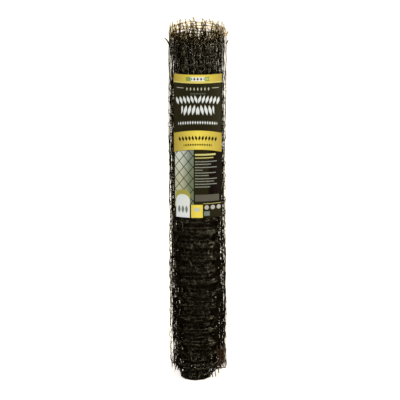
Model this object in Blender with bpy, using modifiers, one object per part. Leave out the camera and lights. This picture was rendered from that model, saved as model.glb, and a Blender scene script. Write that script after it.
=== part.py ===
"""A roll of extruded plastic netting, standing on end, with a printed card on its front.

Metres, +Z up. The roll's axis is the Z axis, its front faces -Y, and it stands on z = 0.
The netting is one length wound anticlockwise, as seen from above, round an open eye. The tight winding is
one solid of its wound form. Its last turn has sprung open, and is a sheet of its own, down to its free edge.
"""

import math

import bmesh
import bpy
from mathutils import Vector

COLLECTION_NAME = "plastic_netting_roll"

# The netting, as it comes off the machine, and how it is wound.
NET_WIDTH = 0.9144
TURN_PITCH = 0.00158
TURN_START_DEG = -50.0
STEP_DEG = 1.0

# The tight winding: the radius of its eye, and its groups of turns, from the eye out. The inner groups have
# slid down out of the outer ones: (outer radius, height of the group's lower edge), in metres. The step from
# one group to the next leans out by GROUP_SLOPE.
EYE_RADIUS = 0.024
TURN_GROUPS = (
    (0.0412, 0.0000),
    (0.0480, 0.0130),
    (0.0560, 0.0210),
    (0.0643, 0.0300),
)
GROUP_SLOPE = 0.0006
RING_POINTS = 72

# How far the skin departs from the outer group's radius: (share of the height, bulge in metres).
SKIN_BULGES = (
    (0.12, -0.0002),
    (0.30, 0.0001),
    (0.50, -0.0001),
    (0.70, 0.0001),
    (0.88, -0.0002),
)

# The loose turn: a sheet as thick as the netting's strands, a little uneven where nothing presses on it.
LOOSE_THICKNESS = 0.0015
LOOSE_SEGMENTS = 96
LOOSE_ROWS = 14
RIPPLE = 0.0007
RIPPLE_HEIGHT = 0.34
RIPPLES_ROUND = 3

# Its way round, at its middle: (angle in degrees, radius in metres, height of its lower edge in metres).
LOOSE_PATH = (
    (-48.0, 0.0653, 0.0300),
    (0.0, 0.0688, 0.0310),
    (90.0, 0.0702, 0.0340),
    (160.0, 0.0731, 0.0370),
    (210.0, 0.0731, 0.0370),
    (250.0, 0.0700, 0.0370),
    (290.0, 0.0700, 0.0350),
    (320.0, 0.0722, 0.0260),
    (340.0, 0.0740, 0.0190),
    (352.0, 0.0742, 0.0186),
)

# The card: bowed less than the roll, so that it presses the loose turn flat behind its middle.
CARD_CHORD = 0.1215
CARD_HEIGHT = 0.377
CARD_BOTTOM = 0.4595
CARD_BOW_RADIUS = 0.138
CARD_FRONT = 0.0684
CARD_THICKNESS = 0.001
CARD_COLUMNS = 24
CARD_ROWS = 8

# Touching pieces lie this far apart. Behind the card, the loose turn is pressed within PRESSED_DEG of the
# front, and free again CARD_REACH_DEG from it.
SEAT_GAP = 0.0004
FRONT_DEG = 270.0
PRESSED_DEG = 45.0
CARD_REACH_DEG = 60.0


def clear_scene():
    for old in list(bpy.data.objects):
        bpy.data.objects.remove(old, do_unlink=True)


def make_collection(name):
    collection = bpy.data.collections.new(name)
    bpy.context.scene.collection.children.link(collection)
    return collection


def make_material(name, color, roughness, metallic=0.0):
    material = bpy.data.materials.new(name)
    material.use_nodes = True
    shader = material.node_tree.nodes["Principled BSDF"]
    shader.inputs["Base Color"].default_value = (*color, 1.0)
    shader.inputs["Roughness"].default_value = roughness
    shader.inputs["Metallic"].default_value = metallic
    return material


def make_object(name, shape, collection, material):
    """Turns a bmesh into a named object with its material, and frees the bmesh."""
    mesh = bpy.data.meshes.new(name)
    shape.to_mesh(mesh)
    shape.free()
    mesh.materials.append(material)
    part = bpy.data.objects.new(name, mesh)
    collection.objects.link(part)
    return part


def polar(angle_deg, radius, height):
    angle = math.radians(angle_deg)
    return Vector((radius * math.cos(angle), radius * math.sin(angle), height))


def spiral_ring(radius, height):
    """One turn from where the loose turn leaves, whose radius grows by a pitch on the way round."""
    span = 360.0 - STEP_DEG
    ring = []
    for i in range(RING_POINTS + 1):
        share = i / RING_POINTS
        turn_radius = radius + TURN_PITCH * (share - 0.5)
        ring.append(polar(TURN_START_DEG + STEP_DEG + span * share, turn_radius, height))
    return ring


def winding_stations():
    """The winding's profile as (radius, height): out over the stepped lower end, up the skin, and back in."""
    lower_end = []
    inner_radius = EYE_RADIUS
    for outer_radius, low_edge in TURN_GROUPS:
        lower_end.append((inner_radius, low_edge))
        lower_end.append((outer_radius, low_edge))
        inner_radius = outer_radius + GROUP_SLOPE
    upper_end = [(radius, low_edge + NET_WIDTH) for radius, low_edge in reversed(lower_end)]
    skin_radius, skin_foot = TURN_GROUPS[-1]
    skin = [(skin_radius + bulge, skin_foot + share * NET_WIDTH) for share, bulge in SKIN_BULGES]
    return lower_end + skin + upper_end


def make_winding(collection, material):
    """The tight winding: a loft of spiral rings along its profile, closed through the eye."""
    shape = bmesh.new()
    rings = [
        [shape.verts.new(point) for point in spiral_ring(radius, height)]
        for radius, height in winding_stations()
    ]
    for ring, next_ring in zip(rings, rings[1:] + rings[:1]):
        for i in range(len(ring)):
            k = (i + 1) % len(ring)
            shape.faces.new((ring[i], ring[k], next_ring[k], next_ring[i]))
    bmesh.ops.recalc_face_normals(shape, faces=shape.faces[:])
    part = make_object("netting_roll", shape, collection, material)
    part.data.shade_smooth()
    part.data.set_sharp_from_angle(angle=math.radians(30))
    return part


def eased(table, at):
    """The table's row at this place in its first column, eased from each row to the next."""
    for row, next_row in zip(table, table[1:]):
        if at <= next_row[0]:
            share = (at - row[0]) / (next_row[0] - row[0])
            share = share * share * (3.0 - 2.0 * share)
            return [a + (b - a) * share for a, b in zip(row, next_row)]
    return list(table[-1])


def radius_behind_card(angle_deg):
    """How far out the loose turn's middle can be behind the card, or None where the card doesn't reach."""
    if abs(angle_deg - FRONT_DEG) > CARD_REACH_DEG:
        return None
    off_front = math.radians(angle_deg - FRONT_DEG)
    back_bow = CARD_BOW_RADIUS - CARD_THICKNESS
    centre_behind = CARD_BOW_RADIUS - CARD_FRONT
    side = centre_behind * math.sin(off_front)
    card_back = math.sqrt(back_bow**2 - side**2) - centre_behind * math.cos(off_front)
    return card_back - SEAT_GAP - LOOSE_THICKNESS / 2


def uneven_radius(angle_deg, radius, height):
    """The loose turn's radius with its ripple, which fades near the winding's step and behind the card."""
    freedom = min(1.0, (angle_deg - LOOSE_PATH[0][0]) / 90.0)
    behind_card = radius_behind_card(angle_deg)
    if behind_card is not None:
        radius = min(radius, behind_card)
        past_pressed = abs(angle_deg - FRONT_DEG) - PRESSED_DEG
        freedom *= max(0.0, past_pressed) / (CARD_REACH_DEG - PRESSED_DEG)
    phase = 2.0 * math.pi * height / RIPPLE_HEIGHT + math.radians(angle_deg) * RIPPLES_ROUND
    return radius + RIPPLE * freedom * math.sin(phase)


def make_sheet(name, points, thickness, collection, material):
    """A thin solid from rows of points: an open surface with its thickness half to each side."""
    shape = bmesh.new()
    rows = [[shape.verts.new(point) for point in row] for row in points]
    for row, next_row in zip(rows, rows[1:]):
        for i in range(len(row) - 1):
            shape.faces.new((row[i], row[i + 1], next_row[i + 1], next_row[i]))
    part = make_object(name, shape, collection, material)
    solidify = part.modifiers.new("thickness", "SOLIDIFY")
    solidify.thickness = thickness
    solidify.offset = 0.0
    solidify.use_even_offset = True
    part.data.shade_smooth()
    return part


def make_loose_turn(collection, material):
    """The last turn: it leaves the winding at its step, opens out all round, and ends at its free edge."""
    first = LOOSE_PATH[0][0]
    last = LOOSE_PATH[-1][0]
    rows = []
    for j in range(LOOSE_ROWS + 1):
        row = []
        for i in range(LOOSE_SEGMENTS + 1):
            angle = first + (last - first) * i / LOOSE_SEGMENTS
            _, radius, low_edge = eased(LOOSE_PATH, angle)
            height = low_edge + NET_WIDTH * j / LOOSE_ROWS
            row.append(polar(angle, uneven_radius(angle, radius, height), height))
        rows.append(row)
    return make_sheet("loose_turn", rows, LOOSE_THICKNESS, collection, material)


def make_card(collection, material):
    """The printed card: one bowed sheet, its middle on the loose turn and its two sides standing free."""
    middle_bow = CARD_BOW_RADIUS - CARD_THICKNESS / 2
    bow_centre = CARD_BOW_RADIUS - CARD_FRONT
    half_angle = math.asin(CARD_CHORD / 2 / middle_bow)
    rows = []
    for j in range(CARD_ROWS + 1):
        height = CARD_BOTTOM + CARD_HEIGHT * j / CARD_ROWS
        row = []
        for i in range(CARD_COLUMNS + 1):
            turn = half_angle * (2.0 * i / CARD_COLUMNS - 1.0)
            across = middle_bow * math.sin(turn)
            row.append(Vector((across, bow_centre - middle_bow * math.cos(turn), height)))
        rows.append(row)
    return make_sheet("label", rows, CARD_THICKNESS, collection, material)


clear_scene()
parts = make_collection(COLLECTION_NAME)
black_plastic = make_material("black extruded plastic", (0.012, 0.010, 0.007), 0.45)
printed_card = make_material("printed card", (0.62, 0.47, 0.13), 0.5)
make_winding(parts, black_plastic)
make_loose_turn(parts, black_plastic)
make_card(parts, printed_card)
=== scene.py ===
"""The look of a roll of extruded plastic netting with a printed card on its front.

Metres, +Z up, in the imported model's frame: the roll stands on z = 0 round the Z axis, its front towards -Y.
"""

import math

import bpy
import numpy as np
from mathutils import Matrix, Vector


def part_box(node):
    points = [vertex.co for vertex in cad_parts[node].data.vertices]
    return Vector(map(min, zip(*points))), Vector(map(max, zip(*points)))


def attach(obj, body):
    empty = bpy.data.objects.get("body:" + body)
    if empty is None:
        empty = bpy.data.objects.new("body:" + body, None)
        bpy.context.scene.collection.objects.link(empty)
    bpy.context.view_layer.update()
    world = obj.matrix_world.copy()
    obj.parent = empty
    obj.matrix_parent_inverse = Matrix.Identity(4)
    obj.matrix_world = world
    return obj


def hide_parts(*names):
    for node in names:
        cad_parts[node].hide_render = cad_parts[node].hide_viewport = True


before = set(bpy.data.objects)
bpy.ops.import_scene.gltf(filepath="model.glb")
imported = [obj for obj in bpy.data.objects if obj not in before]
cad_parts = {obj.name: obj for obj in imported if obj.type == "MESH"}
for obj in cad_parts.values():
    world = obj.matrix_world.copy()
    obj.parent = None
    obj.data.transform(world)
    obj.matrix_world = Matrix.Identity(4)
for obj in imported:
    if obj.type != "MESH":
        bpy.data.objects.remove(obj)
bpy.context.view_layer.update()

# ---- Camera ------------------------------------------------------------------------------------------------
# A long lens a good five metres in front of the roll, looking down on it a little, so that the far side of
# the top shows over the near one.
CAMERA_DISTANCE = 5.26
CAMERA_ELEVATION_DEG = 18.0
CAMERA_LENS_MM = 183.2
CAMERA_SENSOR_MM = 36.0
CAMERA_AIM = (0.0057, 0.0, 0.4855)

elevation = math.radians(CAMERA_ELEVATION_DEG)
camera_data = bpy.data.cameras.new("camera")
camera_data.lens = CAMERA_LENS_MM
camera_data.sensor_width = CAMERA_SENSOR_MM
camera = bpy.data.objects.new("camera", camera_data)
camera.location = (
    CAMERA_AIM[0],
    CAMERA_AIM[1] - CAMERA_DISTANCE * math.cos(elevation),
    CAMERA_AIM[2] + CAMERA_DISTANCE * math.sin(elevation),
)
camera.rotation_euler = (math.radians(90.0) - elevation, 0.0, 0.0)
bpy.context.scene.collection.objects.link(camera)
bpy.context.scene.camera = camera

# ---- Floor and studio light --------------------------------------------------------------------------------
# An opal floor, lit from below, that runs back behind the roll as an even white. The black netting is lit by
# a wide lamp overhead, which draws out the strands that go round, by tall ones at the sides, and a little by
# a warm white surround.
FLOOR_SIDE = 40.0
FLOOR_WHITE = "#f7f6f4"
FLOOR_GLOW_COLOUR = "#fffafd"
FLOOR_GLOW = 0.74
FLOOR_ROUGHNESS = 0.9
# No light comes up inside the roll: where it stands, how far round that the floor is unlit, and the width of
# the edge between the two.
ROLL_FOOT = (-0.0055, -0.0055)
UNLIT_RADIUS = 0.039
UNLIT_EDGE = 0.001
SURROUND_WHITE = "#ffefd5"
SURROUND_STRENGTH = 0.15
LAMP_WHITE = "#fff7cf"
# The lamp overhead: its light on what faces it, how high it stands towards the front, and how wide it looks.
OVERHEAD_STRENGTH = 1.35
OVERHEAD_UP_DEG = 72.0
OVERHEAD_WIDE_DEG = 40.0
# Tall lamps at the sides, whose lower ends are this high: (name, degrees to the right of the front, distance,
# width, height, watts).
LAMP_FOOT = 0.25
LAMPS = (
    ("key_softbox", 52.0, 2.2, 0.7, 2.0, 42.0),
    ("fill_softbox", -50.0, 2.6, 1.0, 2.0, 16.0),
    ("back_right_softbox", 138.0, 2.6, 0.8, 2.0, 12.0),
    ("back_left_softbox", -138.0, 2.6, 0.8, 2.0, 12.0),
)


def linear(hex_colour):
    """An sRGB hex colour as the linear RGBA that shaders take."""
    channels = [int(hex_colour[i : i + 2], 16) / 255.0 for i in (1, 3, 5)]
    return [c / 12.92 if c <= 0.04045 else ((c + 0.055) / 1.055) ** 2.4 for c in channels] + [1.0]


def put(tree, kind, sockets=(), **settings):
    """Adds a shader node with its settings, and gives its inputs, by name or in order, a value or a link."""
    node = tree.nodes.new("ShaderNode" + kind)
    for name, value in settings.items():
        setattr(node, name, value)
    if not isinstance(sockets, dict):
        sockets = dict(enumerate(sockets))
    for name, value in sockets.items():
        target = node.inputs[name] if isinstance(name, int) else next(
            socket for socket in node.inputs if socket.name == name and socket.enabled
        )
        if isinstance(value, bpy.types.Node):
            value = next(socket for socket in value.outputs if socket.enabled)
        if isinstance(value, bpy.types.NodeSocket):
            tree.links.new(value, target)
        else:
            target.default_value = value
    return node


def new_material(name):
    """An empty material, and its node tree."""
    material = bpy.data.materials.new(name)
    material.use_nodes = True
    material.node_tree.nodes.clear()
    return material, material.node_tree


floor_mesh = bpy.data.meshes.new("floor")
corners = [(FLOOR_SIDE / 2 * x, FLOOR_SIDE / 2 * y, 0.0) for x, y in ((-1, -1), (1, -1), (1, 1), (-1, 1))]
floor_mesh.from_pydata(corners, [], [(0, 1, 2, 3)])
floor = bpy.data.objects.new("floor", floor_mesh)
floor.visible_glossy = False
bpy.context.scene.collection.objects.link(floor)

# Opal acrylic over lamps: an even white that hides its own shadows.
opal_acrylic, tree = new_material("opal acrylic")
floor_place = put(tree, "TexCoord").outputs["Object"]
from_roll = put(tree, "VectorMath", (floor_place, (*ROLL_FOOT, 0.0)), operation="DISTANCE")
glow = put(
    tree,
    "MapRange",
    {
        "Value": from_roll.outputs["Value"],
        "From Min": UNLIT_RADIUS - UNLIT_EDGE,
        "From Max": UNLIT_RADIUS,
        "To Max": FLOOR_GLOW,
    },
)
opal = put(
    tree,
    "BsdfPrincipled",
    {
        "Base Color": linear(FLOOR_WHITE),
        "Roughness": FLOOR_ROUGHNESS,
        "Emission Color": linear(FLOOR_GLOW_COLOUR),
        "Emission Strength": glow,
    },
)
put(tree, "OutputMaterial", {"Surface": opal})
floor_mesh.materials.append(opal_acrylic)

world = bpy.data.worlds.new("white studio")
world.use_nodes = True
world.node_tree.nodes["Background"].inputs["Color"].default_value = linear(SURROUND_WHITE)
world.node_tree.nodes["Background"].inputs["Strength"].default_value = SURROUND_STRENGTH
world.cycles_visibility.glossy = False
bpy.context.scene.world = world
bpy.context.scene.view_settings.view_transform = "Standard"

for name, right_deg, distance, wide, high, watts in LAMPS:
    lamp_data = bpy.data.lights.new(name, "AREA")
    lamp_data.shape = "RECTANGLE"
    lamp_data.size = wide
    lamp_data.size_y = high
    lamp_data.energy = watts
    lamp_data.color = linear(LAMP_WHITE)[:3]
    lamp = bpy.data.objects.new(name, lamp_data)
    right = math.radians(right_deg)
    lamp.location = (distance * math.sin(right), -distance * math.cos(right), LAMP_FOOT + high / 2)
    lamp.rotation_euler = (math.radians(90.0), 0.0, right)
    bpy.context.scene.collection.objects.link(lamp)

overhead_data = bpy.data.lights.new("overhead_lamp", "SUN")
overhead_data.energy = OVERHEAD_STRENGTH
overhead_data.angle = math.radians(OVERHEAD_WIDE_DEG)
overhead_data.color = linear(LAMP_WHITE)[:3]
overhead = bpy.data.objects.new("overhead_lamp", overhead_data)
overhead.rotation_euler = (math.radians(90.0 - OVERHEAD_UP_DEG), 0.0, 0.0)
bpy.context.scene.collection.objects.link(overhead)

# ---- Netting: the sheet, and its inner turns ---------------------------------------------------------------
# One length of black polypropylene netting, extruded as crossing strands that are one piece at their knots,
# and wound on itself round an open eye with no tube. The inner turns have slid down, and the roll stands on
# them.
NET_LENGTH = 7.62
NET_WIDTH = 0.9144
CELL_ROUND = 0.027
CELL_UP = 0.0336
ROWS = 28
# The lowest row of knots lies this far over the cut edge, at the eye and at the free edge.
FIRST_ROW_AT_EYE = 0.0009
FIRST_ROW_AT_END = 0.0200
END_STUB = 0.0055

# How the netting is wound. The turns near the free edge stand off one another at the sides: (turns before the
# free edge, radius at the sides). The rest are wound evenly from the last of these radii to the eye.
EYE_RADIUS = 0.0248
EYE_TIGHTNESS = 1.3
FREE_EDGE_DEG = 352.0
LOOSE_START_DEG = -48.0
SPRUNG_TURNS = (
    (0.0, 0.0742),
    (0.5, 0.0735),
    (1.0, 0.0720),
    (2.0, 0.0698),
    (3.0, 0.0680),
    (4.0, 0.0664),
    (5.0, 0.0649),
    (6.0, 0.0634),
    (7.0, 0.0619),
    (8.0, 0.0605),
)
STEP_DEG = 1.0
# The share of that standing off which is lost at the front, behind the card, and at the back, and how sharply
# it fades towards the sides.
FRONT_SQUEEZE = 0.64
BACK_SQUEEZE = 0.15
SQUEEZE_POWER = 3
# Where the loose turn's lower edge runs: (angle in degrees, height).
LOOSE_EDGE = (
    (-48.0, 0.0270),
    (0.0, 0.0300),
    (90.0, 0.0350),
    (150.0, 0.0330),
    (195.0, 0.0272),
    (235.0, 0.0290),
    (270.0, 0.0311),
    (290.0, 0.0300),
    (320.0, 0.0320),
    (335.0, 0.0275),
    (352.0, 0.0190),
)
# Where the tight turns reach: (radius, height of the lower edge, height of the upper edge). A turn whose
# strands wander is shorter than the net is wide.
TIGHT_EDGES = (
    (0.0405, 0.0000, 0.9144),
    (0.0415, 0.0130, 0.9195),
    (0.0480, 0.0135, 0.9200),
    (0.0490, 0.0210, 0.9225),
    (0.0560, 0.0215, 0.9235),
    (0.0570, 0.0295, 0.9390),
    (0.0648, 0.0300, 0.9420),
    (0.0656, 0.0271, 0.9430),
    (0.0664, 0.0271, 0.9430),
    (0.0672, 0.0364, 0.9500),
    (0.0680, 0.0364, 0.9500),
    (0.0689, 0.0466, 0.9510),
    (0.0698, 0.0466, 0.9510),
    (0.0708, 0.0229, 0.9373),
    (0.0716, 0.0229, 0.9373),
    (0.0720, 0.0270, 0.9414),
)
# On the right the lower edges of the turns past this radius are flush: (degrees, height, share of the way).
FLUSH_FROM = 0.0600
FLUSH_EDGE = (
    (0.0, 0.0200, 0.9),
    (30.0, 0.0250, 0.0),
    (295.0, 0.0330, 0.0),
    (315.0, 0.0335, 0.8),
    (335.0, 0.0280, 1.0),
    (352.0, 0.0195, 1.0),
    (360.0, 0.0200, 0.9),
)
# The turns inside this radius stand on the floor. The edges of the others are up to this much off those
# heights, and less so over the last few turns.
CORE_RADIUS = 0.0405
LOWER_EDGE_SPREAD = 0.0070
UPPER_EDGE_SPREAD = 0.0050
EVEN_EDGE_TURNS = 3.0
# How the tight turns sit: (height, shift to the right, shift to the back, share wider). The last turn is free
# of that over this share of it, and eases into it after that.
LAST_TURN_FREE = 0.6
TIGHT_SHAPE = (
    (0.00, -0.0055, -0.0055, 0.00),
    (0.04, 0.0016, -0.0010, -0.02),
    (0.08, 0.0056, 0.0000, -0.045),
    (0.12, 0.0034, 0.0000, 0.00),
    (0.22, 0.0016, 0.0000, 0.03),
    (0.32, 0.0000, 0.0000, 0.01),
    (0.50, -0.0014, 0.0000, -0.01),
    (0.75, -0.0026, 0.0000, -0.02),
    (0.95, -0.0026, 0.0000, -0.01),
)

# The card presses the loose turn flat behind it. Its place is the frame's, read to a tenth of a millimetre.
PLACE_DECIMALS = 4
label_low, label_high = [[round(place, PLACE_DECIMALS) for place in corner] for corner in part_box("label")]
CARD_BOW_RADIUS = 0.138
CARD_FRONT = -label_low[1]
CARD_BACK_DEPTH = 0.0010
CARD_REACH_DEG = 52.0
FRONT_DEG = 270.0
STRAND_CLEARANCE = 0.0010

# The strands, as (width, thickness, swell): the upright ones are wider and flatter than the ones that go
# round, and both swell to their knots, by that share of their size.
UPRIGHT_SECTION = (0.0017, 0.0012, 0.95)
ROUND_SECTION = (0.0014, 0.0012, 0.95)
KNOT_REACH = 0.0022
# Strands deeper in the roll are flattened by the turns over them, and less so at both ends of the roll:
# (height, times as wide). They are drawn so wide that hardly any light comes through the whole roll.
INSIDE_BULK = (
    (0.05, 1.50),
    (0.10, 3.60),
    (0.35, 3.60),
    (0.45, 2.60),
    (0.84, 2.60),
    (0.87, 3.60),
    (0.90, 2.00),
    (0.93, 1.00),
)
OUTER_BULK = (
    (0.05, 1.25),
    (0.10, 1.60),
    (0.30, 1.60),
    (0.36, 2.20),
    (0.44, 2.20),
    (0.50, 1.25),
    (0.84, 1.25),
    (0.88, 1.60),
    (0.93, 0.90),
)
LAST_BULK = ((0.86, 1.0), (0.93, 0.85))
EVEN_BULK = ((0.0, 1.0),)
# Towards the upper edge the strands between knots are drawn flat: (height from, height to, share wider).
DRAWN_FLAT = (0.905, 0.935, 1.4)
# How wide the strands that go round are drawn: (height, times as wide).
ROUND_DRAWN = ((0.0, 1.0), (0.780, 1.0), (0.850, 0.45), (0.905, 0.5), (0.930, 1.0))
# How much of its swelling a knot keeps: (height, share).
KNOT_DRAWN = ((0.76, 1.0), (0.84, 0.3))
# One strand is up to this share wider or narrower than another.
STRAND_VARIATION = 0.14
# A cut end is this share of the strand's size, and this much less see-through.
CUT_END_SHARE = 0.72
CUT_END_DARK = 0.7
FLOOR_CLEARANCE = 0.0001


def eased(table, places):
    """The table's columns after the first, read at these places in the first and eased from row to row."""
    columns = np.array(table).T
    position = np.interp(places, columns[0], np.arange(len(table)))
    row = np.minimum(position.astype(int), len(table) - 2)
    share = position - row
    share = share * share * (3.0 - 2.0 * share)
    return [column[row] + (column[row + 1] - column[row]) * share for column in columns[1:]]


def behind_card(angle, radius):
    """The radius, kept inside the card's back wherever the card reaches."""
    off_front = (angle - math.radians(FRONT_DEG) + math.pi) % (2.0 * math.pi) - math.pi
    centre_behind = CARD_BOW_RADIUS - CARD_FRONT
    side = centre_behind * np.sin(off_front)
    back = np.sqrt((CARD_BOW_RADIUS - CARD_BACK_DEPTH) ** 2 - side**2) - centre_behind * np.cos(off_front)
    pressed = np.minimum(radius, back - STRAND_CLEARANCE)
    return np.where(np.abs(off_front) < math.radians(CARD_REACH_DEG), pressed, radius)


def arc_lengths(angle, radius):
    """How much netting lies between the first of these points and each of them."""
    steps = np.hypot(np.diff(radius), np.diff(angle) * (radius[1:] + radius[:-1]) / 2)
    return np.concatenate(([0.0], np.cumsum(steps)))


def squeezed(angle, radius):
    """The radius, less what the front and the back lose of how far it stands off the even turns."""
    stand_off = np.maximum(radius - SPRUNG_TURNS[-1][1], 0.0)
    front = FRONT_SQUEEZE * np.maximum(-np.sin(angle), 0.0) ** SQUEEZE_POWER
    back = BACK_SQUEEZE * np.maximum(np.sin(angle), 0.0) ** SQUEEZE_POWER
    return radius - stand_off * (front + back)


# The path that the whole length follows: the turns that stand off, and before them as many even ones as use
# up the rest.
sprung_turns, sprung_radii = np.array(SPRUNG_TURNS).T
sprung_deg = np.arange(FREE_EDGE_DEG - 360.0 * sprung_turns[-1], FREE_EDGE_DEG + STEP_DEG / 2, STEP_DEG)
sprung_side_radius = np.interp((FREE_EDGE_DEG - sprung_deg) / 360.0, sprung_turns, sprung_radii)
sprung_radius = behind_card(np.radians(sprung_deg), squeezed(np.radians(sprung_deg), sprung_side_radius))
sprung_length = arc_lengths(np.radians(sprung_deg), sprung_radius)[-1]
even_growth = sprung_radii[-1] - EYE_RADIUS
even_turn = (NET_LENGTH - sprung_length) / (EYE_RADIUS + even_growth / (EYE_TIGHTNESS + 1.0))
even_share = np.arange(0.0, 1.0, math.radians(STEP_DEG) / even_turn)
even_radius = EYE_RADIUS + even_growth * even_share**EYE_TIGHTNESS
even_angle = np.radians(sprung_deg[0]) - even_turn * (1.0 - even_share)
path_angle = np.concatenate((even_angle, np.radians(sprung_deg)))
path_side_radius = np.concatenate((even_radius, sprung_side_radius))
path_radius = np.concatenate((even_radius, sprung_radius))
path_length = arc_lengths(path_angle, path_radius)
tight_length = np.interp(math.radians(LOOSE_START_DEG), path_angle, path_length)

RANDOM_SEED = 20
rng = np.random.default_rng(RANDOM_SEED)
turns_in = (path_angle - path_angle[0]) / (2.0 * math.pi)
turns_left = (math.radians(LOOSE_START_DEG) - path_angle) / (2.0 * math.pi)
edge_radius, lower_height, upper_height = np.array(TIGHT_EDGES).T
spread = (path_side_radius > CORE_RADIUS) * np.clip(turns_left - EVEN_EDGE_TURNS, 0.0, 1.0)
loose_edge = eased(LOOSE_EDGE, np.clip(np.degrees(path_angle), LOOSE_START_DEG, FREE_EDGE_DEG))[0]
path_edges = []
for height, size, loose_height in (
    (lower_height, LOWER_EDGE_SPREAD, loose_edge),
    (upper_height, UPPER_EDGE_SPREAD, loose_edge + NET_WIDTH),
):
    each_turn = rng.uniform(-size, size, int(turns_in[-1]) + 2)
    wander = np.interp(turns_in, np.arange(len(each_turn)), each_turn) * spread
    tight_height = np.interp(path_side_radius, edge_radius, height) + wander
    path_edges.append(np.where(turns_left > 0.0, tight_height, loose_height))
path_lower, path_upper = path_edges
flush_height, flush_share = eased(FLUSH_EDGE, np.degrees(path_angle) % 360.0)
flush_share = flush_share * (turns_left > 0.0) * (path_side_radius > FLUSH_FROM)
path_lower = path_lower + (flush_height - path_lower) * flush_share

# The knots: how far along the net and up from its cut edge, with the cut ends of the strands as the outermost
# row on each side. Each knot is then pushed a little (along, up, out) from its even place, in slow waves and
# each by itself. A wave's length is in (columns, rows) of knots.
COLUMNS = int((NET_LENGTH - END_STUB) / CELL_ROUND) + 1
WAVES = 9
LEAN = 0.0030
LEAN_WAVE = (7.0, 6.0)
SLIP = 0.0080
SLIP_WAVE = (14.0, 30.0)
JITTER_ALONG = 0.0030
JITTER_UP = 0.0006
UP_WAVE = (10.0, 12.0)
# The loose turn is more uneven outwards, from this share of its length on. Each knot by itself is uneven by a
# share of what the waves are.
JITTER_OUT = 0.00030
LOOSE_JITTER_OUT = 0.0008
LOOSE_FROM = 0.3
OUT_WAVE = (5.0, 7.0)
SINGLE_SHARE = 0.6
# The two uppermost rows are ragged.
TOP_RAGGED = (0.0013, 0.0026)
# Towards its upper edge the net is drawn together: over how many rows, and by how much.
DRAWN_ROWS = 3.0
DRAWN_DOWN = 0.0025
# The turns inside the last few have slack, so that their rows wander, but for the rows near the edges.
SEEN_TURNS = 4.0
HALF_SEEN_TURNS = 2.0
SLACK_UP = 0.0080
SLACK_WAVE = (9.0, 9.0)
SLACK_EDGE_ROWS = 4.0
# Between knots a strand bows a little, sideways and outwards.
BOW_SIDEWAYS = 0.0008
BOW_OUT = 0.0004
# The cut ends: how uneven the lower and the upper ones are, and how far a stub leans along and out.
CUT_RAGGED = 0.0012
TIP_RAGGED = 0.0017
STUB_LEAN = 0.22
STUB_LEAN_OUT = 0.4

column_along = NET_LENGTH - END_STUB - CELL_ROUND * np.arange(COLUMNS - 1, -1, -1)
column_along = np.concatenate(([0.0], column_along, [NET_LENGTH]))
loose_length = NET_LENGTH - tight_length
loose_share = np.clip((column_along - tight_length) / (loose_length * LOOSE_FROM), 0.0, 1.0)
core_length = np.interp(CORE_RADIUS, path_radius, path_length)
first_row = np.interp(column_along, (core_length, NET_LENGTH), (FIRST_ROW_AT_EYE, FIRST_ROW_AT_END))
knot_up = first_row[:, None] + CELL_UP * np.arange(-1, ROWS + 1)[None, :]
knot_up -= DRAWN_DOWN * np.clip(np.arange(-1, ROWS + 1) - (ROWS - 1 - DRAWN_ROWS), 0.0, None) ** 2
knot_up[:, 0] = 0.0
knot_up[:, -1] = NET_WIDTH
knot_along = np.repeat(column_along[:, None], ROWS + 2, axis=1)
grid = knot_up.shape


def smooth_waves(columns_a_wave, rows_a_wave):
    """Slow random waves over the knots, between about -1 and 1."""
    column, row = np.indices(grid)
    total = np.zeros(grid)
    for _ in range(WAVES):
        across = rng.normal() / columns_a_wave
        up = rng.normal() / rows_a_wave
        total += np.sin(2.0 * math.pi * (across * column + up * row) + rng.uniform(0.0, 2.0 * math.pi))
    return total / math.sqrt(WAVES / 2.0)


push_along = LEAN * smooth_waves(*LEAN_WAVE) + JITTER_ALONG * rng.normal(size=grid)
push_along += SLIP * smooth_waves(*SLIP_WAVE)
push_up = JITTER_UP * (smooth_waves(*UP_WAVE) + rng.normal(size=grid))
column_radius = np.interp(column_along, path_length, path_radius)
turns_out = (NET_LENGTH - column_along) / (2.0 * math.pi * column_radius)
hidden = np.clip((turns_out - SEEN_TURNS) / HALF_SEEN_TURNS, 0.0, 1.0)
rows_from_edge = np.minimum(np.arange(grid[1]), grid[1] - 1.0 - np.arange(grid[1]))
inside_edges = np.clip(rows_from_edge / SLACK_EDGE_ROWS, 0.0, 1.0)
push_up += SLACK_UP * smooth_waves(*SLACK_WAVE) * hidden[:, None] * inside_edges
out_size = JITTER_OUT + (LOOSE_JITTER_OUT - JITTER_OUT) * loose_share[:, None]
push_out = out_size * (smooth_waves(*OUT_WAVE) + SINGLE_SHARE * rng.normal(size=grid))
push_up[:, -3:-1] += TOP_RAGGED * rng.normal(size=(grid[0], 2))
on_floor = column_radius < CORE_RADIUS
push_up[on_floor, 1] = 0.0
for tip, knot, ragged in ((0, 1, CUT_RAGGED), (-1, -2, TIP_RAGGED)):
    stub = np.abs(knot_up[:, tip] - knot_up[:, knot])
    push_along[:, tip] = push_along[:, knot] + stub * STUB_LEAN * rng.normal(size=grid[0])
    push_out[:, tip] = push_out[:, knot] + stub * STUB_LEAN * STUB_LEAN_OUT * rng.normal(size=grid[0])
    push_up[:, tip] = ragged * rng.normal(size=grid[0])
push_up[on_floor, 0] = 0.0


def ring_places(cell, near_knot, between):
    """Where a strand has rings on its way from one knot to the next, as shares of the way."""
    near = [0.0] + [distance / cell for distance in near_knot]
    middle = [near[-1] + (1.0 - 2.0 * near[-1]) * (i + 1) / (between + 1) for i in range(between)]
    return near + middle + [1.0 - share for share in reversed(near[1:])]


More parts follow.
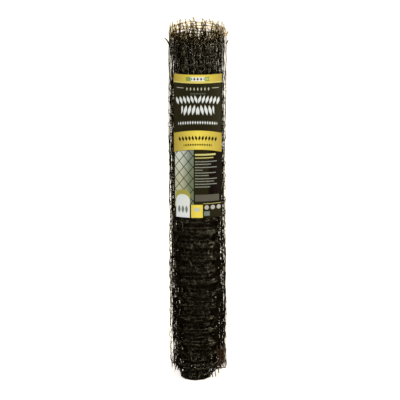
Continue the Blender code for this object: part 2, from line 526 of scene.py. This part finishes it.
def strand_rings(spans, cell, near_knot, between, cut_first, cut_last):
    """The rings along a strand of so many spans, as (span, share of the span)."""
    rings = []
    for span in range(spans):
        is_stub = (span == 0 and cut_first) or (span == spans - 1 and cut_last)
        places = (0.0, 0.5) if is_stub else ring_places(cell, near_knot, between)
        rings += [(span, share) for share in places]
    rings.append((spans - 1, 1.0))
    span, share = np.array(rings).T
    return span.astype(int), share


def on_winding(along, up, push):
    """Points on the wound netting, and the way out from the axis at each of them."""
    angle = np.interp(along, path_length, path_angle)
    radius = np.interp(along, path_length, path_radius)
    lower = np.interp(along, path_length, path_lower)
    upper = np.interp(along, path_length, path_upper)
    height = lower + (upper - lower) * up / NET_WIDTH + push[1]
    angle = angle + push[0] / radius
    radius = behind_card(angle, radius + push[2])
    out = np.stack((np.cos(angle), np.sin(angle), np.zeros_like(angle)), axis=-1)
    points = out * radius[..., None]
    points[..., 2] = height
    shape_height, *shape = np.array(TIGHT_SHAPE).T
    right, back, wider = [np.interp(height, shape_height, column) for column in shape]
    held = np.clip((NET_LENGTH - along) / (2.0 * math.pi * radius) - LAST_TURN_FREE, 0.0, 1.0)
    points[..., 0] += (right + points[..., 0] * wider) * held
    points[..., 1] += back * held
    return points, out


def tube_mesh(name, tubes):
    """One mesh of closed tubes.

    Each set of tubes is an array of (tube, ring, side, xyz), and how thin each of its rings is.
    """
    points = []
    thinness = []
    faces = []
    start = 0
    for rings, thin in tubes:
        count, length, sides, _ = rings.shape
        index = start + np.arange(count * length * sides).reshape(count, length, sides)
        here, after = index[:, :-1], index[:, 1:]
        quads = np.stack((here, np.roll(here, -1, 2), np.roll(after, -1, 2), after), axis=-1)
        faces += quads.reshape(-1, 4).tolist()
        faces += index[:, 0, ::-1].tolist()
        faces += index[:, -1].tolist()
        points.append(rings.reshape(-1, 3))
        thinness.append(np.repeat(np.broadcast_to(thin, (count, length)).reshape(-1), sides))
        start += count * length * sides
    mesh = bpy.data.meshes.new(name)
    mesh.from_pydata(np.concatenate(points).tolist(), [], faces)
    mesh.shade_smooth()
    mesh.attributes.new("thinness", "FLOAT", "POINT").data.foreach_set("value", np.concatenate(thinness))
    piece = bpy.data.objects.new(name, mesh)
    bpy.context.scene.collection.objects.link(piece)
    return piece


def tube_rings(points, out, across, section, bulk, knot_distance, cut_ends, sides, drawn=EVEN_BULK):
    """Rings round strands of this section: swollen at the knots, and smaller at cut ends."""
    width, thickness, swell = section
    swollen = np.exp(-((knot_distance / KNOT_REACH) ** 2))
    size = 1.0 + swell * swollen * np.interp(points[..., 2], *np.array(KNOT_DRAWN).T)
    size = size * (1.0 + STRAND_VARIATION * rng.uniform(-1.0, 1.0, (len(points), 1)))
    size = size * np.where(cut_ends, CUT_END_SHARE, 1.0)
    size = size * np.interp(points[..., 2], *np.array(drawn).T)
    turn = 2.0 * math.pi * (np.arange(sides) + 0.5) / sides
    flat_from, flat_to, wider = DRAWN_FLAT
    up_drawn = np.clip((points[..., 2] - flat_from) / (flat_to - flat_from), 0.0, 1.0)
    flat = 1.0 + wider * up_drawn * (1.0 - swollen)
    flat = flat * np.interp(points[..., 2], *np.array(bulk).T)
    wide = across[..., None, :] * np.cos(turn)[:, None] * (flat[..., None, None] * width / 2)
    thick = out[..., None, :] * np.sin(turn)[:, None] * thickness / 2
    rings = points[..., None, :] + (wide + thick) * size[..., None, None]
    rings[..., 2] = np.maximum(rings[..., 2], FLOOR_CLEARANCE)
    return rings, (1.0 - swollen) * (1.0 - CUT_END_DARK * cut_ends)


def upright_tubes(first, last, fineness, bulk):
    """The upright strands from one column of knots to another, each from cut end to cut end."""
    sides, near_knot, between = fineness
    columns = np.arange(max(first, 1), last)
    span, share = strand_rings(ROWS + 1, CELL_UP, near_knot, between, True, True)

    def read(table):
        """The table's values at each ring of each strand."""
        return table[columns][:, span] * (1.0 - share) + table[columns][:, span + 1] * share

    up = read(knot_up)
    bow = np.sin(math.pi * share) * rng.normal(size=(2, len(columns), ROWS + 1))[:, :, span]
    pushes = (read(push_along) + BOW_SIDEWAYS * bow[0], read(push_up), read(push_out) + BOW_OUT * bow[1])
    points, out = on_winding(read(knot_along), up, pushes)
    knots = knot_up[columns][:, 1:-1]
    distance = np.abs(up[:, :, None] - knots[:, None, :]).min(axis=2)
    ends = np.zeros(up.shape, bool)
    ends[:, 0] = ends[:, -1] = True
    across = np.stack((-out[..., 1], out[..., 0], np.zeros_like(out[..., 0])), axis=-1)
    return tube_rings(points, out, across, UPRIGHT_SECTION, bulk, distance, ends, sides)


def round_tubes(first, last, fineness, bulk):
    """The strands that go round, from one column of knots to another."""
    sides, near_knot, between = fineness
    at_eye = first == 0
    at_end = last == grid[0] - 1
    rows = np.arange(1, ROWS + 1)
    span, share = strand_rings(last - first, CELL_ROUND, near_knot, between, at_eye, at_end)

    def read(table):
        """The table's values at each ring of each strand."""
        here = table[first + span][:, rows] * (1.0 - share[:, None])
        after = table[first + span + 1][:, rows] * share[:, None]
        return (here + after).T

    along = read(knot_along)
    bow = np.sin(math.pi * share) * rng.normal(size=(2, ROWS, last - first))[:, :, span]
    pushes = (read(push_along), read(push_up) + BOW_SIDEWAYS * bow[0], read(push_out) + BOW_OUT * bow[1])
    points, out = on_winding(along, read(knot_up), pushes)
    distance = np.abs(along[0][:, None] - column_along[1:-1][None, :]).min(axis=1)
    ends = np.zeros(along.shape, bool)
    ends[:, 0] = at_eye
    ends[:, -1] = at_end
    across = np.zeros_like(out)
    across[..., 2] = -1.0
    return tube_rings(points, out, across, ROUND_SECTION, bulk, distance[None, :], ends, sides, ROUND_DRAWN)


def netting_piece(name, first, last, fineness, bulk):
    """One piece of netting, from one column of knots to another, its strands this fine and this wide."""
    uprights = upright_tubes(first, last, fineness, bulk)
    rounds = round_tubes(first, last, fineness, bulk)
    return tube_mesh(name, [uprights, rounds])


# Black polypropylene as it leaves the die: carbon black that shows brown where the strand is thin enough to
# let light through, with a satin skin, glossier in some places than in others.
POLYPROPYLENE_IOR = 1.49
BLACK_DEEP = "#0b0904"
BLACK_WORN = "#141007"
BROWN_THROUGH = "#b98d52"
THROUGH_SHARE = 0.04
# Towards the upper edge the strands are drawn thinner, and are see-through between their knots.
TAN_CLEAR = "#faf2de"
CLEAR_FROM = 0.900
CLEAR_TO = 0.930
CLEAR_SHARE = 0.90
# What varies over the plastic, as (size in millimetres, detail): the patches of deep and worn black, the
# roughness of its skin, its dents and its gloss.
GRAINS = {"patches": (30.0, 4.0), "skin": (1.2, 2.0), "dents": (5.0, 2.0), "wear": (10.0, 1.0)}
SKIN_ROUGHNESS = (0.10, 0.20)
SKIN_RANGE = (0.3, 0.7)
GLOSS = (0.15, 1.75)
WEAR_RANGE = (0.38, 0.62)
DENT_DEPTH = 0.0003

black_polypropylene, tree = new_material("extruded black polypropylene")
coordinates = put(tree, "TexCoord").outputs["Object"]
grain = {}
for name, (size_mm, detail) in GRAINS.items():
    grain[name] = put(tree, "TexNoise", {"Vector": coordinates, "Scale": 1000.0 / size_mm, "Detail": detail})
black = put(
    tree,
    "Mix",
    {"Factor": grain["patches"], "A": linear(BLACK_DEEP), "B": linear(BLACK_WORN)},
    data_type="RGBA",
)
roughness = put(
    tree,
    "MapRange",
    {
        "Value": grain["skin"],
        "From Min": SKIN_RANGE[0],
        "From Max": SKIN_RANGE[1],
        "To Min": SKIN_ROUGHNESS[0],
        "To Max": SKIN_ROUGHNESS[1],
    },
)
gloss = put(
    tree,
    "MapRange",
    {
        "Value": grain["wear"],
        "From Min": WEAR_RANGE[0],
        "From Max": WEAR_RANGE[1],
        "To Min": GLOSS[0],
        "To Max": GLOSS[1],
    },
)
dented = put(tree, "Bump", {"Height": grain["dents"], "Strength": 1.0, "Distance": DENT_DEPTH})
plastic = put(
    tree,
    "BsdfPrincipled",
    {
        "Base Color": black,
        "Roughness": roughness,
        "IOR": POLYPROPYLENE_IOR,
        "Specular IOR Level": gloss,
        "Normal": dented,
    },
)
through = put(tree, "BsdfTranslucent", {"Color": linear(BROWN_THROUGH)})
lit_through = put(tree, "MixShader", (THROUGH_SHARE, plastic, through))
up_roll = put(tree, "SeparateXYZ", {"Vector": coordinates}).outputs["Z"]
near_top = put(
    tree, "MapRange", {"Value": up_roll, "From Min": CLEAR_FROM, "From Max": CLEAR_TO, "To Max": CLEAR_SHARE}
)
thin = put(tree, "Attribute", attribute_name="thinness").outputs["Fac"]
clear_share = put(tree, "Math", (near_top, thin), operation="MULTIPLY")
clear = put(tree, "BsdfTransparent", {"Color": linear(TAN_CLEAR)})
surface = put(tree, "MixShader", (clear_share, lit_through, clear))
put(tree, "OutputMaterial", {"Surface": surface})


def finish_netting(piece, node, material=black_polypropylene):
    """Gives a piece of netting its plastic, hangs it from the root body, and hides the CAD node it stands
    for.
    """
    piece.data.materials.append(material)
    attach(piece, "root")
    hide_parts(node)


def column_at(radius):
    """The first column of knots past this radius, at the sides, of the winding."""
    return int(np.searchsorted(column_along, np.interp(radius, path_side_radius, path_length)))


# The netting is parted into pieces at these radii.
MIDDLE_RADIUS = 0.0560
OUTER_RADIUS = 0.0648
# How finely strands are made, by how well they show: (sides, how far from a knot they have rings, how many
# rings between those).
HIDDEN_FINENESS = (4, (0.0026,), 1)
OUTER_FINENESS = (5, (0.0024,), 1)
LAST_FINENESS = (6, (0.0024,), 1)
LOOSE_FINENESS = (8, (0.0014, 0.0030), 3)

inner_end = column_at(CORE_RADIUS)
middle_end = column_at(MIDDLE_RADIUS)
outer_end = column_at(OUTER_RADIUS)
tight_end = int(np.searchsorted(column_along, tight_length))
inner_turns = netting_piece("netting_inner_turns", 0, inner_end, HIDDEN_FINENESS, INSIDE_BULK)
finish_netting(inner_turns, "netting_roll")

# ---- Netting: middle turns ---------------------------------------------------------------------------------
# The same length goes on round the inner turns. They show at both ends of the roll, and as dark depth between
# the outer ones.
middle_turns = netting_piece("netting_middle_turns", inner_end, middle_end, HIDDEN_FINENESS, INSIDE_BULK)
finish_netting(middle_turns, "netting_roll")

# ---- Netting: outer tight turns ----------------------------------------------------------------------------
# The last tight turns, which show all over the roll through the loose one. They stand higher than the turns
# inside them.
outer_turns = netting_piece("netting_outer_turns", middle_end, outer_end, OUTER_FINENESS, OUTER_BULK)
finish_netting(outer_turns, "netting_roll")
last_turns = netting_piece("netting_last_tight_turns", outer_end, tight_end, LAST_FINENESS, LAST_BULK)
finish_netting(last_turns, "netting_roll")

# ---- Netting: the loose turn -------------------------------------------------------------------------------
# The last turn has sprung open and stands off the roll, so that light shows through its meshes on both sides.
# Its free edge, cut across, ends on the right.
loose_turn = netting_piece("netting_loose_turn", tight_end, grid[0] - 1, LOOSE_FINENESS, LAST_BULK)
finish_netting(loose_turn, "loose_turn")

# ---- Netting: stray strands --------------------------------------------------------------------------------
# Cut strands that stand off the roll's upper corners, and hang from the turns at its foot on the right. Each
# runs through its foot, its middle and its tip.
STRAYS = (
    ((-0.0700, -0.0120, 0.8990), (-0.0745, -0.0130, 0.9120), (-0.0835, -0.0150, 0.9180)),
    ((-0.0700, -0.0120, 0.8930), (-0.0738, -0.0128, 0.9070), (-0.0795, -0.0145, 0.9150)),
    ((0.0657, -0.0306, 0.9260), (0.0705, -0.0320, 0.9300), (0.0752, -0.0340, 0.9385)),
    ((0.0705, -0.0180, 0.9040), (0.0738, -0.0180, 0.9070), (0.0762, -0.0180, 0.9130)),
    ((0.0375, -0.0305, 0.0150), (0.0385, -0.0305, 0.0085), (0.0396, -0.0305, 0.0030)),
    ((0.0450, -0.0305, 0.0230), (0.0462, -0.0305, 0.0130), (0.0475, -0.0305, 0.0045)),
    ((0.0528, -0.0290, 0.0320), (0.0543, -0.0290, 0.0225), (0.0556, -0.0290, 0.0135)),
)
STRAY_RINGS = 7
STRAY_SIDES = 8
STRAY_SECTION = (0.0023, 0.0016, 0.6)

stray_share = np.linspace(0.0, 1.0, STRAY_RINGS)[None, :, None]
stray_foot, stray_middle, stray_tip = np.array(STRAYS)[:, None].transpose(2, 0, 1, 3)
stray_points = (
    stray_foot * (1.0 - stray_share) ** 2
    + stray_middle * 2.0 * stray_share * (1.0 - stray_share)
    + stray_tip * stray_share**2
)
stray_way = np.gradient(stray_points, axis=1)
stray_way = stray_way / np.linalg.norm(stray_way, axis=-1, keepdims=True)
stray_out = np.broadcast_to((0.0, -1.0, 0.0), stray_points.shape)
stray_across = np.cross(stray_out, stray_way)
from_foot = np.linalg.norm(stray_points - stray_points[:, :1], axis=-1)
stray_ends = np.zeros(from_foot.shape, bool)
stray_ends[:, -1] = True
stray_tubes = tube_rings(
    stray_points, stray_out, stray_across, STRAY_SECTION, EVEN_BULK, from_foot, stray_ends, STRAY_SIDES
)
strays = tube_mesh("netting_stray_strands", [stray_tubes])
finish_netting(strays, "loose_turn")

# ---- Netting: the folded corner ----------------------------------------------------------------------------
# The lower corner of the free edge is folded back on the loose turn, so that thin strands lie close together
# in it: upright ones from their foot to about this head, and rows at these heights.
FOLD_STRANDS = 11
FOLD_PITCH = 0.0044
FOLD_FOOT = 0.0020
FOLD_HEAD = 0.0660
FOLD_ROWS = (0.0030, 0.0045, 0.0200, 0.0380, 0.0560)
FOLD_RINGS = 9
FOLD_SIDES = 6
FOLD_OUT = 0.0002
FOLD_UNEVEN = 0.0005
FOLD_SECTION = (0.0018, 0.0012, 0.4)
# Each upright strand is this many pitches out of place, and ends at this share of the head.
FOLD_SHIFT = (0.1, 0.6)
FOLD_ENDS = (0.75, 1.1)
BROWN_THIN = "#3f2b20"
THIN_ROUGHNESS = 0.3


def fold_tubes(along, up, upright):
    """The fold's strands through these places on the netting, going up it or along it."""
    uneven = FOLD_UNEVEN * rng.normal(size=(3, *along.shape))
    points, out = on_winding(along, up, (uneven[0], uneven[1], uneven[2] + FOLD_OUT))
    if upright:
        across = np.stack((-out[..., 1], out[..., 0], np.zeros_like(along)), axis=-1)
    else:
        across = np.broadcast_to((0.0, 0.0, -1.0), out.shape)
    ends = np.zeros(along.shape, bool)
    ends[:, 0] = ends[:, -1] = True
    no_knots = np.ones_like(along)
    return tube_rings(points, out, across, FOLD_SECTION, EVEN_BULK, no_knots, ends, FOLD_SIDES)


# The same polypropylene, drawn so thin that its carbon black shows brown.
brown_polypropylene, tree = new_material("thin brown polypropylene")
brown = put(
    tree,
    "BsdfPrincipled",
    {"Base Color": linear(BROWN_THIN), "Roughness": THIN_ROUGHNESS, "IOR": POLYPROPYLENE_IOR},
)
put(tree, "OutputMaterial", {"Surface": brown})

fold_share = np.linspace(0.0, 1.0, FOLD_RINGS)[None, :]
fold_place = np.arange(FOLD_STRANDS)[:, None] + rng.uniform(*FOLD_SHIFT, (FOLD_STRANDS, 1))
fold_along = NET_LENGTH - FOLD_PITCH * fold_place
fold_head = FOLD_HEAD * rng.uniform(*FOLD_ENDS, (FOLD_STRANDS, 1))
fold_up = FOLD_FOOT + (fold_head - FOLD_FOOT) * fold_share
fold_uprights = fold_tubes(*np.broadcast_arrays(fold_along, fold_up), True)
row_along = NET_LENGTH - FOLD_PITCH * FOLD_STRANDS * fold_share
fold_rounds = fold_tubes(*np.broadcast_arrays(row_along, np.array(FOLD_ROWS)[:, None]), False)
folded_corner = tube_mesh("netting_folded_corner", [fold_uprights, fold_rounds])
finish_netting(folded_corner, "loose_turn", brown_polypropylene)

# ---- Label -------------------------------------------------------------------------------------------------
# A varnished card, printed on its front only. It is bowed round the roll, flatter than the roll itself, and
# lies on the loose turn along its middle. The print is plain ornament: bands, leaves, lozenges, a lattice and
# rules.
CARD_BOTTOM = label_low[2]
CARD_HEIGHT = label_high[2] - label_low[2]
CARD_CHORD = 0.1215
BOARD_THICKNESS = 0.0005
CARD_COLUMNS = 48
CARD_ROWS = 120
# The card isn't quite even: (size, height of a wave, width of a wave), and where the waves start.
CARD_UNEVEN = (0.00025, 0.17, 0.09)
CARD_UNEVEN_START = (1.0, 0.6)
CARD_FLAT = (0.126, 0.377)
VARNISH_IOR = 1.5
VARNISH_ROUGHNESS = 0.42
VARNISH_SPECULAR = 0.15
BOARD_ROUGHNESS = 0.85
BOARD_GREY = "#8f8c80"
# The gold ink, lighter in the middle of the bowed card and darker towards its sides: partly a printed
# gradient, partly painted sheen in the middle and painted shade at the sides.
GOLD_MIDDLE_INK_AND_SHEEN = "#cabb51"
GOLD_SIDE_INK_AND_SHADE = "#96863a"
# The green field's colours: top left, top right, low left, low right. They blend over these spans, in mm.
MEADOW = ("#b2bcc2", "#667171", "#a0a497", "#5c6858")
MEADOW_UP = (100.0, 170.0)
MEADOW_ACROSS = (-45.0, -20.0)
INKS = {
    "dark": "#1e1b0a",
    "plum": "#0a0001",
    "white": "#bdc5d7",
    "cream": "#a6aaa9",
    "pale gold": "#b3b077",
    "brown": "#231a01",
    "lattice": "#1a2019",
    "olive": "#8a8a45",
    "rule": "#878f92",
    "stone": "#4d4c4a",
    "leaf green": "#6e8845",
    "disc": "#999ba2",
    "sage": "#616e72",
}
# Fields, in mm from the middle of the card and up from its lower edge: (ink, left, right, foot, head, arch).
# An arched field is that much lower at the sides.
FIELDS = (
    ("gold", -70.0, 70.0, 354.5, 380.0, 0.0),
    ("pale gold", -60.5, 60.5, 355.5, 358.0, 0.0),
    ("leaf green", -30.0, 30.0, 360.5, 371.0, 0.0),
    ("white", -18.0, 18.0, 360.5, 371.0, 0.0),
    ("cream", -54.0, -36.0, 341.2, 342.6, 0.0),
    ("cream", 36.0, 54.0, 341.2, 342.6, 0.0),
    ("gold", -70.0, 70.0, 182.0, 232.0, 9.0),
    ("meadow", -59.5, -10.5, 36.0, 181.0, 9.0),
    ("plum", 28.0, 62.0, 38.0, 182.0, 9.0),
    ("pale gold", -7.0, 46.0, 166.0, 170.5, 0.0),
    ("pale gold", -7.0, 40.0, 158.5, 161.0, 0.0),
    ("stone", -7.0, 56.0, 44.0, 62.0, 0.0),
    ("pale gold", 14.5, 62.0, 37.0, 38.2, 0.0),
    ("white", -56.5, -20.5, 0.0, 46.0, 0.0),
    ("gold", -17.0, 13.0, 0.0, 35.0, 0.0),
    ("sage", 16.0, 31.0, 5.0, 17.0, 0.0),
)
# Rows of one motif, in mm: (ink, left, right, height, pitch, half width, half height, power across, power up,
# lean, shift, arch). Powers of 1 and 1 make a lozenge, 1 and 2 a leaf, 2 and 2 a disc.
MOTIFS = (
    ("dark", -17.0, 17.0, 365.8, 8.5, 2.8, 4.0, 1.0, 1.0, 0.0, 0.0, 0.0),
    ("pale gold", 18.0, 30.0, 365.8, 6.0, 2.0, 3.4, 1.0, 2.0, 0.0, 0.0, 0.0),
    ("cream", -32.0, 32.0, 340.0, 9.1, 1.9, 5.0, 1.0, 1.0, 0.0, 0.0, 0.0),
    ("sage", -19.0, 19.0, 328.0, 3.8, 1.2, 2.0, 1.0, 1.0, 0.0, 0.0, 0.0),
    ("white", -57.0, 57.0, 313.5, 9.5, 3.5, 10.5, 1.0, 1.6, 0.28, 4.75, 7.0),
    ("white", -42.0, 42.0, 286.0, 10.5, 4.0, 13.5, 1.0, 1.8, -0.22, 0.0, 7.0),
    ("white", -50.0, 50.0, 253.0, 6.25, 2.2, 5.0, 1.0, 1.0, 0.0, 0.0, 7.0),
    ("brown", -50.4, 50.4, 212.5, 8.4, 3.2, 6.8, 1.0, 1.3, 0.20, 4.2, 8.0),
    ("brown", -36.0, 36.0, 195.0, 6.0, 2.3, 3.6, 1.0, 1.2, 0.0, 0.0, 8.0),
    ("olive", -58.0, -19.0, 56.0, 400.0, 19.5, 19.0, 2.4, 2.4, 0.0, -38.5, 0.0),
    ("white", -58.0, -19.0, 40.0, 400.0, 18.5, 22.0, 2.4, 2.4, 0.0, -38.5, 0.0),
    ("sage", -53.0, -24.0, 22.0, 9.6, 3.4, 10.0, 1.0, 2.0, 0.0, -0.2, 0.0),
    ("cream", -15.0, 11.0, 22.0, 26.0, 9.0, 6.0, 1.0, 2.0, 0.0, -2.0, 0.0),
    ("disc", 15.0, 63.0, 27.5, 16.0, 5.8, 5.8, 2.0, 2.0, 0.0, 7.0, 0.0),
)
# Rows of small lozenges down the dark field: (height, left, right).
SMALL_ROWS = (
    (150.0, -7.0, 50.0),
    (143.0, -7.0, 34.0),
    (134.5, -7.0, 50.0),
    (127.5, -7.0, 12.0),
    (120.0, -7.0, 46.0),
    (113.0, -7.0, 28.0),
    (104.5, -7.0, 50.0),
    (97.5, -7.0, 42.0),
    (90.0, -7.0, 50.0),
    (82.5, -7.0, 32.0),
)
SMALL_ROW_MOTIF = (3.0, 1.5, 1.7, 1.0, 1.0, 0.0, 0.0, 0.0)
# The lattice over the green field: the pitch of its lines across, how steep they are, and their half width.
LATTICE = (24.0, 0.8, 1.1)
LATTICE_FIELD = (-59.5, -10.5, 36.0, 181.0, 9.0)
# An arch is as much lower as it says this far from the middle.
ARCH_SPAN_MM = 60.0

# Coated board, printed and varnished: even colours under a dull sheen.
varnished_card, print_tree = new_material("varnished card, printed")

# Where on the card: mm from its middle, round its bow, and mm up from its lower edge.
card_place = put(print_tree, "SeparateXYZ", {"Vector": put(print_tree, "TexCoord").outputs["Object"]})
turn_sine = put(print_tree, "Math", (card_place.outputs["X"], CARD_BOW_RADIUS), operation="DIVIDE")
turned = put(print_tree, "Math", (turn_sine,), operation="ARCSINE")
across_mm = put(print_tree, "Math", (turned, CARD_BOW_RADIUS * 1000.0), operation="MULTIPLY")
up_card = put(print_tree, "Math", (card_place.outputs["Z"], CARD_BOTTOM), operation="SUBTRACT")
up_mm = put(print_tree, "Math", (up_card, 1000.0), operation="MULTIPLY")


def within(value, low, high):
    """1 where this value lies from low to high, and 0 elsewhere."""
    return put(print_tree, "Math", (value, (low + high) / 2, (high - low) / 2), operation="COMPARE")


def arched(arch):
    """The height up the card in mm, raised at the sides by this arch, which lowers what it places there."""
    share = put(print_tree, "Math", (across_mm, ARCH_SPAN_MM), operation="DIVIDE")
    off_middle = put(print_tree, "Math", (share,), operation="ABSOLUTE")
    curve = put(print_tree, "Math", (off_middle, 2.0), operation="POWER")
    return put(print_tree, "Math", (curve, arch, up_mm), operation="MULTIPLY_ADD")


def field_mask(left, right, foot, head, arch):
    """1 inside a field, and 0 elsewhere."""
    inside = (within(across_mm, left, right), within(arched(arch), foot, head))
    return put(print_tree, "Math", inside, operation="MULTIPLY")


def motif_mask(left, right, height, pitch, half_wide, half_high, power_across, power_up, lean, shift, arch):
    """1 inside the motifs of one row, and 0 elsewhere."""
    above = put(print_tree, "Math", (arched(arch), height), operation="SUBTRACT")
    leaned = put(print_tree, "Math", (above, lean), operation="MULTIPLY")
    side = put(print_tree, "Math", (across_mm,), operation="SIGN")
    outwards = put(print_tree, "Math", (leaned, side), operation="MULTIPLY")
    upright = put(print_tree, "Math", (across_mm, outwards), operation="SUBTRACT")
    shifted = put(print_tree, "Math", (upright, shift), operation="SUBTRACT")
    off_motif = put(print_tree, "Math", (shifted, pitch / 2, -pitch / 2), operation="WRAP")
    parts = []
    for distance, half, power in ((off_motif, half_wide, power_across), (above, half_high, power_up)):
        share = put(print_tree, "Math", (distance, half), operation="DIVIDE")
        off_middle = put(print_tree, "Math", (share,), operation="ABSOLUTE")
        parts.append(put(print_tree, "Math", (off_middle, power), operation="POWER"))
    total = put(print_tree, "Math", parts, operation="ADD")
    inside = put(print_tree, "Math", (total, 1.0), operation="LESS_THAN")
    return put(print_tree, "Math", (inside, within(across_mm, left, right)), operation="MULTIPLY")


inks = {name: linear(ink) for name, ink in INKS.items()}
# Gold blended from the middle of the card to its sides: a printed gradient with painted sheen in the middle
# and painted shade towards the sides.
off_middle_mm = put(print_tree, "Math", (across_mm,), operation="ABSOLUTE")
to_shaded_side = put(print_tree, "MapRange", {"Value": off_middle_mm, "From Max": 1000.0 * CARD_FLAT[0] / 2})
inks["gold"] = put(
    print_tree,
    "Mix",
    {"Factor": to_shaded_side, "A": linear(GOLD_MIDDLE_INK_AND_SHEEN), "B": linear(GOLD_SIDE_INK_AND_SHADE)},
    data_type="RGBA",
)
up_meadow, across_meadow = [
    put(print_tree, "MapRange", {"Value": value, "From Min": low, "From Max": high})
    for value, (low, high) in ((up_mm, MEADOW_UP), (across_mm, MEADOW_ACROSS))
]
top_left, top_right, low_left, low_right = [linear(green) for green in MEADOW]
left_meadow, right_meadow = [
    put(print_tree, "Mix", {"Factor": up_meadow, "A": low, "B": top}, data_type="RGBA")
    for low, top in ((low_left, top_left), (low_right, top_right))
]
inks["meadow"] = put(
    print_tree,
    "Mix",
    {"Factor": across_meadow, "A": left_meadow, "B": right_meadow},
    data_type="RGBA",
)

# The print's layers, from the lowest up: (where it is, its ink).
layers = [(field_mask(*field), ink) for ink, *field in FIELDS]
pitch, steepness, half_line = LATTICE
in_lattice = field_mask(*LATTICE_FIELD)
for slope in (steepness, -steepness):
    sloped = put(print_tree, "Math", (up_mm, slope, across_mm), operation="MULTIPLY_ADD")
    off_line = put(print_tree, "Math", (sloped, pitch / 2, -pitch / 2), operation="WRAP")
    on_line = (within(off_line, -half_line, half_line), in_lattice)
    layers.append((put(print_tree, "Math", on_line, operation="MULTIPLY"), "lattice"))
layers += [(motif_mask(*motif), ink) for ink, *motif in MOTIFS]
layers += [(motif_mask(left, right, height, *SMALL_ROW_MOTIF), "rule") for height, left, right in SMALL_ROWS]
print_colour = inks["dark"]
for mask, ink in layers:
    print_colour = put(
        print_tree, "Mix", {"Factor": mask, "A": print_colour, "B": inks[ink]}, data_type="RGBA"
    )
varnish = put(
    print_tree,
    "BsdfPrincipled",
    {
        "Base Color": print_colour,
        "Roughness": VARNISH_ROUGHNESS,
        "IOR": VARNISH_IOR,
        "Specular IOR Level": VARNISH_SPECULAR,
    },
)
put(print_tree, "OutputMaterial", {"Surface": varnish})

# Uncoated grey board, matt, on the card's back and edges.
bare_board, tree = new_material("bare grey card board")
matt_board = put(
    tree,
    "BsdfPrincipled",
    {"Base Color": linear(BOARD_GREY), "Roughness": BOARD_ROUGHNESS, "IOR": VARNISH_IOR},
)
put(tree, "OutputMaterial", {"Surface": matt_board})

half_turn = math.asin(CARD_CHORD / 2 / CARD_BOW_RADIUS)
turn, share_up = np.meshgrid(
    np.linspace(-half_turn, half_turn, CARD_COLUMNS + 1), np.linspace(0.0, 1.0, CARD_ROWS + 1)
)
wave_size, wave_up, wave_across = CARD_UNEVEN
start_up, start_across = CARD_UNEVEN_START
wave = np.sin(2.0 * math.pi * share_up * CARD_HEIGHT / wave_up + start_up) * np.cos(
    2.0 * math.pi * turn * CARD_BOW_RADIUS / wave_across + start_across
)
card_bow = CARD_BOW_RADIUS - wave_size * (1.0 - wave)
card_points = np.stack(
    (
        card_bow * np.sin(turn),
        CARD_BOW_RADIUS - CARD_FRONT - card_bow * np.cos(turn),
        CARD_BOTTOM + CARD_HEIGHT * share_up,
    ),
    axis=-1,
)
point = np.arange(turn.size).reshape(turn.shape)
card_faces = np.stack((point[:-1, :-1], point[:-1, 1:], point[1:, 1:], point[1:, :-1]), axis=-1)
card_mesh = bpy.data.meshes.new("label_card")
card_mesh.from_pydata(card_points.reshape(-1, 3).tolist(), [], card_faces.reshape(-1, 4).tolist())
card_mesh.shade_smooth()
card_mesh.materials.append(varnished_card)
card_mesh.materials.append(bare_board)
card = bpy.data.objects.new("label_card", card_mesh)
bpy.context.scene.collection.objects.link(card)
board = card.modifiers.new("board", "SOLIDIFY")
board.thickness = BOARD_THICKNESS
board.offset = -1.0
board.material_offset = board.material_offset_rim = 1
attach(card, "root")
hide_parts("label")
